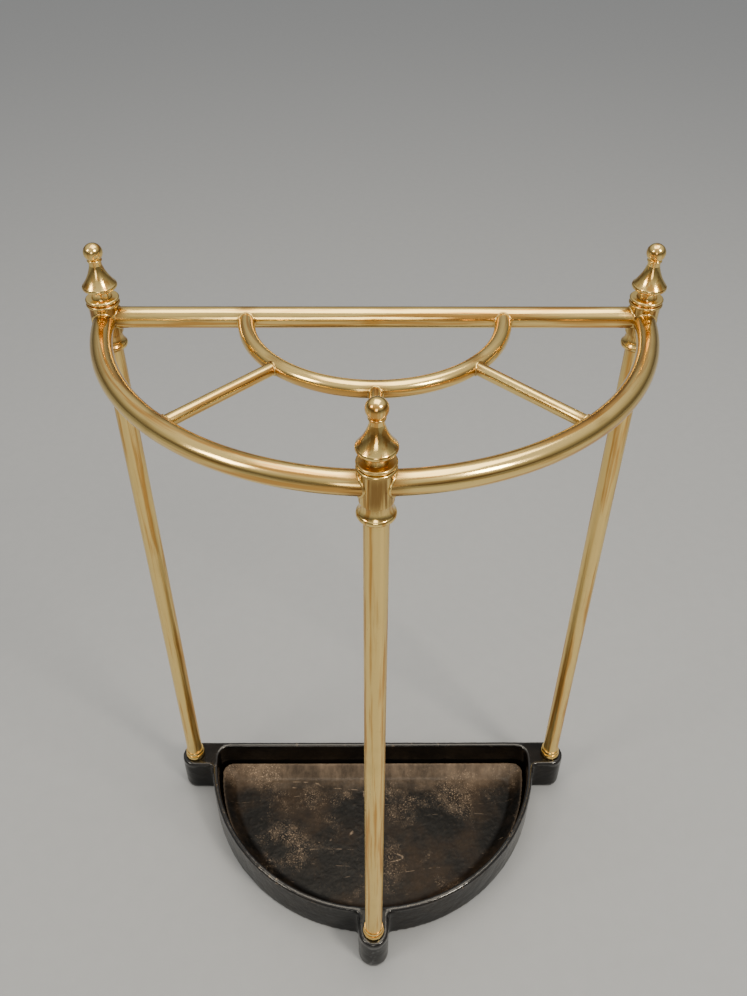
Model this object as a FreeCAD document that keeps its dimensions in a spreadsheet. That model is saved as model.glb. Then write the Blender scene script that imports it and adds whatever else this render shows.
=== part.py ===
import FreeCAD, Part
import math
import os
import re

import Sketcher
from FreeCAD import Placement, Rotation, Vector

# Umbrella stand: three brass posts stand on a black cast-iron D-shaped tray and carry a half-round brass
# rack of two rings and three spokes. A drip pan lifts out of the tray. Each post is clamped by a steel tie
# rod that runs from a nut under the tray up into the finial.
# X runs to the right, -Y to the front, Z up. The origin is under the middle of the stand, on the floor.

# Driving dimensions, in millimetres and degrees.
DIMENSIONS = [
    # places of the three posts
    ("post_span", 400.0),
    ("post_depth", 190.0),
    ("rack_height", 608.0),
    # cast tray
    ("base_height", 45.0),
    ("tray_radius", 180.5),
    ("tray_setback", 7.0),
    ("tray_corner", 4.0),
    ("rim_wall", 6.0),
    ("tray_floor", 5.0),
    ("well_corner", 12.0),
    ("boss_radius", 14.6),
    ("boss_blend", 5.0),
    ("web_length", 24.0),
    ("rim_edge_round", 2.4),
    ("well_edge_round", 1.4),
    # drip pan
    ("pan_gap", 1.2),
    ("pan_height", 10.0),
    ("pan_sheet", 2.0),
    ("pan_slope", 15.0),
    ("pan_floor_corner", 6.0),
    # tubes and rods of the rack and the posts
    ("post_diameter", 16.0),
    ("ring_diameter", 16.0),
    ("inner_ring_diameter", 12.4),
    ("tube_wall", 1.2),
    ("inner_ring_radius", 95.0),
    ("spoke_diameter", 9.2),
    ("spoke_angle", 45.0),
    # sockets, their reach measured from the rack's centre plane
    ("socket_below", 24.5),
    ("socket_above", 11.0),
    ("socket_wall", 2.7),
    ("socket_bead_stand", 1.5),
    ("socket_bead_height", 4.0),
    ("socket_cove_height", 8.0),
    ("socket_cove_hollow", 0.9),
    ("socket_step", 0.7),
    ("post_insertion", 14.0),
    # caps under the finials
    ("cap_stand", 1.4),
    ("cap_height", 6.2),
    ("cap_groove_depth", 0.9),
    ("cap_groove_width", 1.2),
    # roundness of the turned beads: how far each stands out of its own edges
    ("bead_rise", 0.9),
    # finials
    ("finial_foot_diameter", 15.0),
    ("finial_foot_height", 7.0),
    ("finial_foot_hollow", 0.7),
    ("bell_diameter", 25.0),
    ("bell_lip_diameter", 21.4),
    ("bell_shoulder_diameter", 23.4),
    ("bell_belly_height", 3.8),
    ("bell_height", 18.6),
    ("bell_hollow", 0.9),
    ("neck_diameter", 9.0),
    ("neck_height", 2.8),
    ("neck_bead_height", 1.8),
    ("neck_bead_rise", 0.8),
    ("ball_diameter", 13.6),
    # foot collars
    ("collar_wall", 2.1),
    ("collar_top_wall", 1.3),
    ("collar_bead_height", 5.6),
    ("collar_top_height", 4.4),
    ("collar_groove_width", 0.8),
    # tie rods, washers and nuts
    ("rod_diameter", 8.0),
    ("rod_hole_diameter", 9.0),
    ("rod_engagement", 20.0),
    ("rod_end_room", 1.0),
    ("rod_tail", 3.0),
    ("washer_diameter", 19.0),
    ("washer_thickness", 1.6),
    ("nut_flats", 13.0),
    ("nut_height", 6.5),
    ("nut_recess_diameter", 22.0),
    ("nut_recess_depth", 16.0),
    # slip of a part over a post
    ("slip_fit", 0.1),
]

# Sizes and places that follow from the driving dimensions.
DERIVED = {
    "back_axis_depth": "(post_depth / 2)",
    "front_axis_depth": "(-post_depth / 2)",
    "back_face": "(back_axis_depth + boss_radius)",
    "ring_radius": "((post_span ^ 2 / 4 + post_depth ^ 2) / (2 * post_depth))",
    "ring_centre": "(front_axis_depth + ring_radius)",
    "ring_sweep": "(acos((ring_radius - post_depth) / ring_radius) / 1 deg)",
    "tray_centre": "(back_axis_depth + tray_setback)",
    "well_radius": "(tray_radius - rim_wall)",
    "well_back": "(back_face - rim_wall)",
    "pan_radius": "(well_radius - pan_gap)",
    "pan_back": "(well_back - pan_gap)",
    "pan_corner": "(well_corner - pan_gap)",
    "post_bore": "(post_diameter / 2 + slip_fit)",
    "socket_radius": "(post_bore + socket_wall)",
    "socket_foot": "(rack_height - socket_below)",
    "cap_foot": "(rack_height + socket_above)",
    "finial_foot": "(cap_foot + cap_height)",
    "post_top": "(socket_foot + post_insertion)",
    "ring_offset": "(ring_centre - back_axis_depth)",
    "side_reach": (
        "(sqrt((ring_offset * cos(spoke_angle)) ^ 2 + ring_radius ^ 2 - ring_offset ^ 2)"
        " - ring_offset * cos(spoke_angle))"
    ),
    "rod_foot": "(nut_recess_depth - washer_thickness - nut_height - rod_tail)",
    "rod_top": "(finial_foot + rod_engagement)",
}

# Post name, and its axis across the stand and in depth.
POSTS = [
    ("left", "-post_span / 2", "back_axis_depth"),
    ("right", "post_span / 2", "back_axis_depth"),
    ("front", "0", "front_axis_depth"),
]

doc = FreeCAD.newDocument("umbrella_stand")
sheet = doc.addObject("Spreadsheet::Sheet", "dims")
sub_parts = []


def fill_sheet():
    """Write every driving dimension to the sheet, its name beside it as the cell's alias."""
    for row, (name, number) in enumerate(DIMENSIONS, start=1):
        sheet.set(f"A{row}", name)
        sheet.set(f"B{row}", str(number))
        sheet.setAlias(f"B{row}", name)
    doc.recompute()


def formula(text):
    """Spell a size out in the sheet's cells, so that it can be bound to a property."""
    aliases = {name for name, _ in DIMENSIONS}

    def cell(match):
        word = match.group(0)
        if word in DERIVED:
            return formula(DERIVED[word])
        return "dims." + word if word in aliases else word

    return re.sub(r"[a-z_]+", cell, text)


def number(text):
    """The present value of a size."""
    result = sheet.evalExpression(formula(text).replace("dims.", ""))
    return float(getattr(result, "Value", result))


def bind(target, prop, text):
    target.setExpression(prop, formula(text))


def place(target, across="0", depth="0", height="0", turn=None):
    """Put a sub-part at its place, turned first where a rotation is given."""
    target.Placement = Placement(Vector(), turn or Rotation())
    bind(target, "Placement.Base.x", across)
    bind(target, "Placement.Base.y", depth)
    bind(target, "Placement.Base.z", height)
    return target


def keep(target, label):
    """Take an object as a finished sub-part and name it."""
    target.Label = label
    sub_parts.append(target)
    return target


# Sketches


def new_body(name):
    return doc.addObject("PartDesign::Body", name)


def new_sketch(body, role="XY_Plane", height="0"):
    """A sketch on one of the body's own planes, raised by a height."""
    sketch = body.newObject("Sketcher::SketchObject", body.Name + "_sketch")
    plane = next(f for f in body.Origin.OriginFeatures if f.Role == role)
    sketch.AttachmentSupport = (plane, [""])
    sketch.MapMode = "FlatFace"
    bind(sketch, "AttachmentOffset.Base.z", height)
    return sketch


def constrain(sketch, kind, *args, size=None):
    """Add a constraint, its value bound to a size where one is given."""
    if size is None:
        return sketch.addConstraint(Sketcher.Constraint(kind, *args))
    index = sketch.addConstraint(Sketcher.Constraint(kind, *args, number(size)))
    name = f"size_{index}"
    sketch.renameConstraint(index, name)
    bind(sketch, "Constraints." + name, size)
    return index


def pin_point(sketch, geometry, point, across, depth):
    """Fix a point by its two distances from the sketch's origin."""
    constrain(sketch, "DistanceX", -1, 1, geometry, point, size=across)
    constrain(sketch, "DistanceY", -1, 1, geometry, point, size=depth)


def add_circle(sketch, diameter, across="0", depth="0"):
    centre = Vector(number(across), number(depth), 0)
    index = sketch.addGeometry(Part.Circle(centre, Vector(0, 0, 1), number(diameter) / 2))
    pin_point(sketch, index, 3, across, depth)
    constrain(sketch, "Diameter", index, size=diameter)


def arc_between(start, end, radius):
    """The short arc from start to end. A positive radius bulges to the right of the way there."""
    chord = end - start
    height = math.sqrt(max(radius ** 2 - (chord.Length / 2) ** 2, 0))
    left = Vector(-chord.y, chord.x, 0).normalize()
    centre = (start + end) / 2 + left * math.copysign(height, radius)
    angles = [math.atan2(p.y - centre.y, p.x - centre.x) for p in (start, end)]
    if radius < 0:
        angles.reverse()
    return Part.ArcOfCircle(Part.Circle(centre, Vector(0, 0, 1), abs(radius)), *angles)


def bow(chord, rise):
    """The radius of an arc from its chord and how far it stands out of it."""
    return f"((({chord}) ^ 2 / 4 + ({rise}) ^ 2) / (2 * ({rise})))"


def across_and_up(run, rise):
    """The straight distance between two corners of an outline."""
    return f"sqrt(({run}) ^ 2 + ({rise}) ^ 2)"


def add_outline(sketch, corners):
    """Draw a closed outline. Each corner is its two places and, where an arc leads on, its radius."""
    points = [Vector(number(c[0]), number(c[1]), 0) for c in corners]
    ends = []
    for i, corner in enumerate(corners):
        start, end = points[i], points[(i + 1) % len(points)]
        radius = number(corner[2]) if len(corner) > 2 else 0
        shape = arc_between(start, end, radius) if radius else Part.LineSegment(start, end)
        index = sketch.addGeometry(shape)
        first, last = (2, 1) if radius < 0 else (1, 2)
        pin_point(sketch, index, first, corner[0], corner[1])
        if radius:
            sign = "" if radius > 0 else "-"
            constrain(sketch, "Radius", index, size=f"{sign}({corner[2]})")
        ends.append((index, first, last))
    for (index, _, last), (following, first, _) in zip(ends, ends[1:] + ends[:1]):
        constrain(sketch, "Coincident", index, last, following, first)


def add_web(sketch, across, depth, end_across, end_depth):
    """Draw the rectangle that joins a boss to the tray, as wide as the boss, from its axis inwards."""
    if across == end_across:
        low, high = f"{across} - boss_radius", f"{across} + boss_radius"
        corners = [(low, depth), (high, depth), (high, end_depth), (low, end_depth)]
    else:
        low, high = f"{depth} - boss_radius", f"{depth} + boss_radius"
        corners = [(across, low), (end_across, low), (end_across, high), (across, high)]
    add_outline(sketch, corners)


def add_half_round(sketch, radius, back, corner):
    """Draw the tray's D: a straight back, a long arc about the tray's centre, and two rounded corners."""
    big, small, line = number(radius), number(corner), number(back)
    centre = Vector(0, number("tray_centre"), 0)
    corner_y = line - small
    corner_x = math.sqrt((big - small) ** 2 - (corner_y - centre.y) ** 2)
    lean = math.atan2(corner_y - centre.y, corner_x)
    up = Vector(0, 0, 1)
    right = Part.Circle(Vector(corner_x, corner_y, 0), up, small)
    left = Part.Circle(Vector(-corner_x, corner_y, 0), up, small)
    edges = [
        Part.LineSegment(Vector(corner_x, line, 0), Vector(-corner_x, line, 0)),
        Part.ArcOfCircle(left, math.pi / 2, math.pi - lean),
        Part.ArcOfCircle(Part.Circle(centre, up, big), math.pi - lean, 2 * math.pi + lean),
        Part.ArcOfCircle(right, lean, math.pi / 2),
    ]
    back_line, left_corner, long_arc, right_corner = (sketch.addGeometry(e) for e in edges)
    for first, second in (
        (back_line, left_corner),
        (left_corner, long_arc),
        (long_arc, right_corner),
        (right_corner, back_line),
    ):
        constrain(sketch, "Tangent", first, 2, second, 1)
    constrain(sketch, "Horizontal", back_line)
    constrain(sketch, "DistanceY", -1, 1, back_line, 1, size=back)
    pin_point(sketch, long_arc, 3, "0", "tray_centre")
    constrain(sketch, "Radius", long_arc, size=radius)
    constrain(sketch, "Radius", left_corner, size=corner)
    constrain(sketch, "Radius", right_corner, size=corner)


# Features


def pad(body, sketch, length):
    feature = body.newObject("PartDesign::Pad", body.Name + "_pad")
    feature.Profile = sketch
    bind(feature, "Length", length)
    doc.recompute()
    return feature


def pocket_up(body, sketch, depth=None):
    """Cut upwards from the sketch, through everything where no depth is given."""
    before = body.Shape.Volume
    feature = body.newObject("PartDesign::Pocket", body.Name + "_pocket")
    feature.Profile = sketch
    feature.Reversed = True
    if depth is None:
        feature.Type = 1
    else:
        bind(feature, "Length", depth)
    doc.recompute()
    if body.Shape.Volume >= before:
        raise RuntimeError(f"{feature.Name} cuts nothing")
    return feature


def fillet(body, base, edges, radius):
    """Round the chosen edges of the base feature."""
    names = [f"Edge{i}" for i, e in enumerate(base.Shape.Edges, start=1) if edges(e)]
    if not names:
        raise RuntimeError(f"{body.Name} has no edge to round")
    feature = body.newObject("PartDesign::Fillet", body.Name + "_round")
    feature.Base = (base, names)
    bind(feature, "Radius", radius)
    doc.recompute()
    return feature


def turned(label, outline):
    """A piece turned on a lathe, from its outline in radius and height."""
    body = new_body(label)
    sketch = new_sketch(body, "XZ_Plane")
    add_outline(sketch, outline)
    turning = body.newObject("PartDesign::Revolution", label + "_turning")
    turning.Profile = sketch
    turning.ReferenceAxis = (sketch, ["V_Axis"])
    turning.Angle = 360
    return body


def straight_tube(label, diameter, length, bore):
    """A round tube that stands on its own XY plane."""
    body = new_body(label)
    sketch = new_sketch(body)
    add_circle(sketch, diameter)
    add_circle(sketch, bore)
    pad(body, sketch, length)
    return body


def bent_tube(label, diameter, bend_radius, sweep):
    """A tube bent about its body's Z axis, half of the bend on each side of the body's X axis."""
    body = new_body(label)
    sketch = new_sketch(body, "XZ_Plane")
    add_circle(sketch, diameter, bend_radius)
    add_circle(sketch, f"{diameter} - 2 * tube_wall", bend_radius)
    bend = body.newObject("PartDesign::Revolution", label + "_bend")
    bend.Profile = sketch
    bend.ReferenceAxis = (sketch, ["V_Axis"])
    bend.Midplane = True
    bind(bend, "Angle", sweep)
    return body


def round_bar(name, diameter, length):
    bar = doc.addObject("Part::Cylinder", name)
    bind(bar, "Radius", f"({diameter}) / 2")
    bind(bar, "Height", length)
    return bar


def ring_cutter(name, bend_radius, diameter, depth):
    """The solid outer shape of a ring, which copes the end of what meets it."""
    torus = doc.addObject("Part::Torus", name)
    bind(torus, "Radius1", bend_radius)
    bind(torus, "Radius2", f"{diameter} / 2")
    return place(torus, depth=depth, height="rack_height")


def socket_cutter(name, across, depth):
    """The solid body of a socket, which copes the end of a tube."""
    height = "socket_above + socket_below"
    cutter = round_bar(name, "2 * socket_radius", height)
    return place(cutter, across, depth, "socket_foot")


def cope(label, blank, tools):
    """Cut a blank to the surfaces that it is brazed to."""
    result = blank
    for count, tool in enumerate(tools, start=1):
        cut = doc.addObject("Part::Cut", f"{label}_cope_{count}")
        cut.Base = result
        cut.Tool = tool
        result = cut
    return keep(result, label)


# Cast tray and drip pan


def is_boss_corner(edge):
    """Whether an edge is an upright inner corner between a boss and the tray's long arc."""
    ends = [v.Point for v in edge.Vertexes]
    if len(ends) != 2 or abs(ends[0].z - ends[1].z) < number("base_height") - 1:
        return False
    reach = math.hypot(ends[0].x, ends[0].y - number("tray_centre"))
    return abs(reach - number("tray_radius")) < 0.01 and ends[0].y < number("back_axis_depth")


def on_top(edge):
    """Whether an edge lies in the rim's top face."""
    box = edge.BoundBox
    return abs(box.ZMin - number("base_height")) < 1e-6 and box.ZLength < 1e-6


def around_well(edge):
    """Whether an edge of the top face borders the well."""
    inside = number("tray_radius") - number("rim_wall") / 2
    middle = edge.valueAt((edge.FirstParameter + edge.LastParameter) / 2)
    reach = math.hypot(middle.x, middle.y - number("tray_centre"))
    return on_top(edge) and reach < inside and middle.y < number("back_face") - number("rim_wall") / 2


def make_base_casting():
    body = new_body("base_casting")
    outline = new_sketch(body)
    add_half_round(outline, "tray_radius", "back_face", "tray_corner")
    pad(body, outline, "base_height")
    bosses = new_sketch(body)
    for _, across, depth in POSTS:
        add_circle(bosses, "2 * boss_radius", across, depth)
    pad(body, bosses, "base_height")
    webs = new_sketch(body)
    for web in (
        ("-post_span / 2", "back_axis_depth", "-post_span / 2 + web_length", "back_axis_depth"),
        ("post_span / 2", "back_axis_depth", "post_span / 2 - web_length", "back_axis_depth"),
        ("0", "front_axis_depth", "0", "front_axis_depth + web_length"),
    ):
        add_web(webs, *web)
    blank = pad(body, webs, "base_height")
    blended = fillet(body, blank, is_boss_corner, "boss_blend")
    well = new_sketch(body, height="tray_floor")
    add_half_round(well, "well_radius", "well_back", "well_corner")
    hollow = pocket_up(body, well)
    inner = fillet(body, hollow, around_well, "well_edge_round")
    fillet(body, inner, on_top, "rim_edge_round")
    holes = new_sketch(body)
    recesses = new_sketch(body)
    for _, across, depth in POSTS:
        add_circle(holes, "rod_hole_diameter", across, depth)
        add_circle(recesses, "nut_recess_diameter", across, depth)
    pocket_up(body, holes)
    pocket_up(body, recesses, "nut_recess_depth")
    return keep(body, "base_casting")


def make_drip_pan():
    """A dished pan: a flat floor, sloping sides, the same sheet all over."""
    body = new_body("drip_pan")
    skins = (
        ("PartDesign::AdditiveLoft", "0", "0", "pan_height"),
        ("PartDesign::SubtractiveLoft", "pan_sheet", "pan_sheet", "pan_height"),
    )
    for kind, inset, floor, rim in skins:
        lower = new_sketch(body, height=floor)
        add_half_round(
            lower,
            f"pan_radius - pan_slope - {inset} / 2",
            f"pan_back - pan_slope - {inset} / 2",
            "pan_floor_corner",
        )
        upper = new_sketch(body, height=rim)
        add_half_round(upper, f"pan_radius - {inset}", f"pan_back - {inset}", f"pan_corner - {inset}")
        skin = body.newObject(kind, body.Name + "_skin")
        skin.Profile = lower
        skin.Sections = [upper]
        skin.Ruled = True
        doc.recompute()
    place(body, height="tray_floor")
    return keep(body, "drip_pan")


# Posts and what stands on them


def make_post(name, across, depth):
    label = f"{name}_post"
    post = straight_tube(label, "post_diameter", "post_top - base_height", "post_diameter - 2 * tube_wall")
    return keep(place(post, across, depth, "base_height"), label)


def make_foot_collar(name, across, depth):
    """Two turned beads, the lower one wider, with a groove between them."""
    label = f"{name}_foot_collar"
    foot = "post_bore + collar_wall - bead_rise"
    top = "post_bore + collar_top_wall - bead_rise"
    groove_end = "collar_bead_height + collar_groove_width"
    collar_height = f"{groove_end} + collar_top_height"
    outline = [
        ("post_bore", "0"),
        (foot, "0", bow("collar_bead_height", "bead_rise")),
        (foot, "collar_bead_height"),
        (top, "collar_bead_height"),
        (top, groove_end, bow("collar_top_height", "bead_rise")),
        (top, collar_height),
        ("post_bore", collar_height),
    ]
    return keep(place(turned(label, outline), across, depth, "base_height"), label)


def make_socket(name, across, depth):
    """The turned socket that takes the post from below and carries the rack's tubes on its sides."""
    label = f"{name}_socket"
    rod_bore = "rod_hole_diameter / 2"
    bead = "socket_radius + socket_bead_stand - bead_rise"
    waist = "socket_radius - socket_step"
    cove_end = "socket_bead_height + socket_cove_height"
    height = "socket_below + socket_above"
    outline = [
        ("post_bore", "0"),
        (bead, "0", bow("socket_bead_height", "bead_rise")),
        (bead, "socket_bead_height", "-" + bow("socket_cove_height", "socket_cove_hollow")),
        (waist, cove_end),
        ("socket_radius", f"{cove_end} + socket_step"),
        ("socket_radius", height),
        (rod_bore, height),
        (rod_bore, "post_insertion"),
        ("post_bore", "post_insertion"),
    ]
    return keep(place(turned(label, outline), across, depth, "socket_foot"), label)


def make_cap(name, across, depth):
    """The turned cap on a socket: two beads with a groove between them."""
    label = f"{name}_cap"
    bore = "rod_hole_diameter / 2"
    edge = "socket_radius + cap_stand - bead_rise"
    groove = f"{edge} - cap_groove_depth"
    groove_foot = "cap_height / 2 - cap_groove_width / 2"
    groove_top = "cap_height / 2 + cap_groove_width / 2"
    outline = [
        (bore, "0"),
        (edge, "0", bow(groove_foot, "bead_rise")),
        (edge, groove_foot),
        (groove, groove_foot),
        (groove, groove_top),
        (edge, groove_top, bow(groove_foot, "bead_rise")),
        (edge, "cap_height"),
        (bore, "cap_height"),
    ]
    return keep(place(turned(label, outline), across, depth, "cap_foot"), label)


def make_finial(name, across, depth):
    """The turned finial: a foot, a bell that flares out of the neck, a bead and a ball on top."""
    label = f"{name}_finial"
    bore = "rod_diameter / 2"
    neck = "neck_diameter / 2"
    lip = "bell_lip_diameter / 2"
    shoulder = "bell_shoulder_diameter / 2"
    flare_height = "bell_height - bell_belly_height"
    belly_chord = across_and_up(f"{shoulder} - {lip}", "bell_belly_height")
    belly_rise = f"bell_diameter / 2 - ({lip} + {shoulder}) / 2"
    flare_chord = across_and_up(f"{shoulder} - {neck}", flare_height)
    belly_top = "finial_foot_height + bell_belly_height"
    bell_top = "finial_foot_height + bell_height"
    bead_foot = f"{bell_top} + neck_height"
    ball_foot = f"{bead_foot} + neck_bead_height"
    ball = "ball_diameter / 2"
    ball_top = f"{ball_foot} + sqrt(({ball}) ^ 2 - ({neck}) ^ 2) + {ball}"
    hole_depth = "rod_engagement + rod_end_room"
    outline = [
        (bore, "0"),
        ("finial_foot_diameter / 2", "0", "-" + bow("finial_foot_height", "finial_foot_hollow")),
        ("finial_foot_diameter / 2", "finial_foot_height"),
        (lip, "finial_foot_height", bow(belly_chord, belly_rise)),
        (shoulder, belly_top, "-" + bow(flare_chord, "bell_hollow")),
        (neck, bell_top),
        (neck, bead_foot, bow("neck_bead_height", "neck_bead_rise")),
        (neck, ball_foot, ball),
        ("0", ball_top),
        ("0", hole_depth),
        (bore, hole_depth),
    ]
    return keep(place(turned(label, outline), across, depth, "finial_foot"), label)


# Tie rods and what clamps them


def make_tie_rod(name, across, depth):
    label = f"{name}_tie_rod"
    rod = round_bar(label, "rod_diameter", "rod_top - rod_foot")
    return keep(place(rod, across, depth, "rod_foot"), label)


def make_washer(name, across, depth):
    label = f"{name}_washer"
    washer = straight_tube(label, "washer_diameter", "washer_thickness", "rod_hole_diameter")
    return keep(place(washer, across, depth, "nut_recess_depth - washer_thickness"), label)


def make_nut(name, across, depth):
    label = f"{name}_nut"
    height = "nut_recess_depth - washer_thickness - nut_height"
    blank = doc.addObject("Part::Prism", label + "_blank")
    blank.Polygon = 6
    bind(blank, "Circumradius", "nut_flats / sqrt(3)")
    bind(blank, "Height", "nut_height")
    bore = round_bar(label + "_bore", "rod_diameter", "nut_height")
    place(blank, across, depth, height)
    place(bore, across, depth, height)
    return cope(label, blank, [bore])


# Rack


def about_down(target, angle):
    """Turn a sub-part clockwise, seen from above, by an angle bound to a size."""
    target.Placement = Placement(target.Placement.Base, Rotation(Vector(0, 0, -1), number(angle)))
    bind(target, "Placement.Rotation.Angle", angle)
    return target


def make_rack():
    """The back rail, the outer ring's two halves, the inner ring and the three spokes."""
    sockets = {
        name: socket_cutter(f"{name}_socket_cutter", across, depth) for name, across, depth in POSTS
    }
    rail_cutter = round_bar("rail_cutter", "ring_diameter", "post_span")
    along = Rotation(Vector(0, 1, 0), 90)
    place(rail_cutter, "-post_span / 2", "back_axis_depth", "rack_height", along)
    inner_cutter = ring_cutter(
        "inner_ring_cutter", "inner_ring_radius", "inner_ring_diameter", "back_axis_depth"
    )
    outer_cutter = ring_cutter("outer_ring_cutter", "ring_radius", "ring_diameter", "ring_centre")

    rail = straight_tube("rail_blank", "ring_diameter", "post_span", "ring_diameter - 2 * tube_wall")
    place(rail, "-post_span / 2", "back_axis_depth", "rack_height", along)
    cope("back_rail", rail, [sockets["left"], sockets["right"]])

    for side, middle in (("left", "90 + ring_sweep / 2"), ("right", "90 - ring_sweep / 2")):
        ring = bent_tube(f"{side}_ring_blank", "ring_diameter", "ring_radius", "ring_sweep")
        place(ring, depth="ring_centre", height="rack_height")
        about_down(ring, middle)
        cope(f"{side}_ring", ring, [sockets[side], sockets["front"], rail_cutter])

    inner = bent_tube("inner_ring_blank", "inner_ring_diameter", "inner_ring_radius", "180")
    place(inner, depth="back_axis_depth", height="rack_height")
    about_down(inner, "90")
    cope("inner_ring", inner, [rail_cutter])

    for name, turn, reach, end in (
        ("left", "90 + spoke_angle", "side_reach", outer_cutter),
        ("centre", "90", "post_depth", sockets["front"]),
        ("right", "90 - spoke_angle", "side_reach", outer_cutter),
    ):
        body = new_body(f"{name}_spoke_blank")
        sketch = new_sketch(body, "YZ_Plane", "inner_ring_radius")
        add_circle(sketch, "spoke_diameter")
        pad(body, sketch, f"{reach} - inner_ring_radius")
        place(body, depth="back_axis_depth", height="rack_height")
        about_down(body, turn)
        cope(f"{name}_spoke", body, [inner_cutter, end])


def write_parts():
    """Check every object, then write one file for each sub-part."""
    doc.recompute()
    for thing in doc.Objects:
        if {"Invalid", "Error"} & set(thing.State):
            raise RuntimeError(f"{thing.Name} failed: {thing.State}")
    for piece in sub_parts:
        shape = piece.Shape
        if shape.isNull() or not shape.isValid() or not shape.Solids:
            raise RuntimeError(f"{piece.Label} has no valid solid")
    os.makedirs("parts", exist_ok=True)
    for piece in sub_parts:
        piece.Shape.exportStep(f"parts/{piece.Label}.step")
        print(f"{piece.Label}: {piece.Shape.Volume / 1000:.2f} cm3")


fill_sheet()
make_base_casting()
make_drip_pan()
for post in POSTS:
    make_post(*post)
    make_foot_collar(*post)
    make_socket(*post)
    make_cap(*post)
    make_finial(*post)
    make_tie_rod(*post)
    make_washer(*post)
    make_nut(*post)
make_rack()
write_parts()
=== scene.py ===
# %% [markdown]
# # An umbrella stand in brass and cast iron
#
# The stand has two halves. Three brass posts carry a half-round rack of brass tube, and a black enamelled
# iron tray holds them at the bottom. A loose iron drip pan lies in the tray. The design comes from a CAD
# model, which stays as it is. This script gives it its surfaces: cast skin on the iron, wear on the pan,
# brazing at the joints and an aged polish on the brass.

# %% Load the frame
import math

import bmesh
import bpy
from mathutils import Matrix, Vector


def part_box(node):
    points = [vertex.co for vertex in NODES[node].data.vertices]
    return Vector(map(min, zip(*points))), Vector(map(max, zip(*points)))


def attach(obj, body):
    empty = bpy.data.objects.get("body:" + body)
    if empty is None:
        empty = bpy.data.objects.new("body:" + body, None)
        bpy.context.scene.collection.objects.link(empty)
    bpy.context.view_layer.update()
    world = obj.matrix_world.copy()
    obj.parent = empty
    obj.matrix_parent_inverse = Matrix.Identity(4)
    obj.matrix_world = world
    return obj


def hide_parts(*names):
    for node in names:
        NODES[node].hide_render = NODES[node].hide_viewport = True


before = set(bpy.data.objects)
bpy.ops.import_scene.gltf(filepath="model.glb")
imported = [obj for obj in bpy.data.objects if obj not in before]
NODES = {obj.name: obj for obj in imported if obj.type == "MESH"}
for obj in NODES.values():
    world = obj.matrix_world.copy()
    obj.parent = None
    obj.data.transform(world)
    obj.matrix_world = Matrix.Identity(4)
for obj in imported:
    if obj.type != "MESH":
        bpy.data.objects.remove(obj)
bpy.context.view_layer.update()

# %% [markdown]
# ## Where things are
#
# Every place in this script is read from the CAD boxes, so nothing has to be fitted by eye. The posts give
# three upright axes and the back rail gives the rack's level. A tube that lies flat is as high as it is
# thick, so half the height of its box is its radius.

# %% Read the places
MM = 0.001


def middle(node):
    """The middle of a node's box."""
    low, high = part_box(node)
    return (low + high) / 2


def tube_radius(node):
    """The radius of a tube that lies flat."""
    low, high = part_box(node)
    return (high.z - low.z) / 2


POSTS = {side: middle(side + "_post") for side in ("left", "right", "front")}
RACK_HEIGHT = middle("back_rail").z
RAIL_TUBE = tube_radius("back_rail")
INNER_TUBE = tube_radius("inner_ring")
SPOKE_TUBE = tube_radius("centre_spoke")
print("posts:", {side: [round(x, 3) for x in place[:2]] for side, place in POSTS.items()})
print("rack level:", round(RACK_HEIGHT, 3), "tube radius:", round(RAIL_TUBE, 4))

# %% [markdown]
# ## The two rings
#
# Both rings lie flat at the rack's level. The inner one is a half circle about the middle of the back rail,
# so its box gives its radius. The outer one is the arc through the three posts. Its radius follows from half
# the distance between the back posts and how far the front post stands before them.

# %% Centres and radii of the rings
INNER_RADIUS = (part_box("inner_ring")[1].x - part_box("inner_ring")[0].x) / 2 - INNER_TUBE
INNER_CENTRE = Vector((0, middle("back_rail").y, RACK_HEIGHT))
half_span = POSTS["right"].x
reach = POSTS["right"].y - POSTS["front"].y
OUTER_RADIUS = (half_span**2 + reach**2) / (2 * reach)
OUTER_CENTRE = Vector((0, POSTS["front"].y + OUTER_RADIUS, RACK_HEIGHT))
print("ring radii:", round(INNER_RADIUS, 4), "and", round(OUTER_RADIUS, 4))

# %% [markdown]
# ## Node graphs as Python sums
#
# A shader or a Geometry Nodes tree is a sum drawn with boxes. Here the boxes are made by Python's own
# operators: `Wire` stands for one output socket, and adding two of them adds a Math node.

# %% Wires
class Wire:
    """One output socket of a node, which Python's operators can work on."""

    def __init__(self, graph, socket):
        self.graph = graph
        self.socket = socket

    def __add__(self, other):
        return self.graph.maths("ADD", self, other)

    def __radd__(self, other):
        return self.graph.maths("ADD", other, self)

    def __sub__(self, other):
        return self.graph.maths("SUBTRACT", self, other)

    def __rsub__(self, other):
        return self.graph.maths("SUBTRACT", other, self)

    def __mul__(self, other):
        return self.graph.maths("MULTIPLY", self, other)

    def __rmul__(self, other):
        return self.graph.maths("MULTIPLY", other, self)


print("a wire understands + - and *")

# %% [markdown]
# ## Any node from one method
#
# `Graph.node` makes a node from its type, its settings and its sockets. Shaders and Geometry Nodes share this
# class, because both have the same Math, Vector Math and noise nodes. A colour is mixed by a Mix node, since
# a Math node would turn it grey. That node has a set of sockets for each kind of value, and the colour ones
# are only told apart by their numbers.

# %% Graphs
MIX_FIRST, MIX_SECOND, MIX_RESULT = 6, 7, 2


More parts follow.
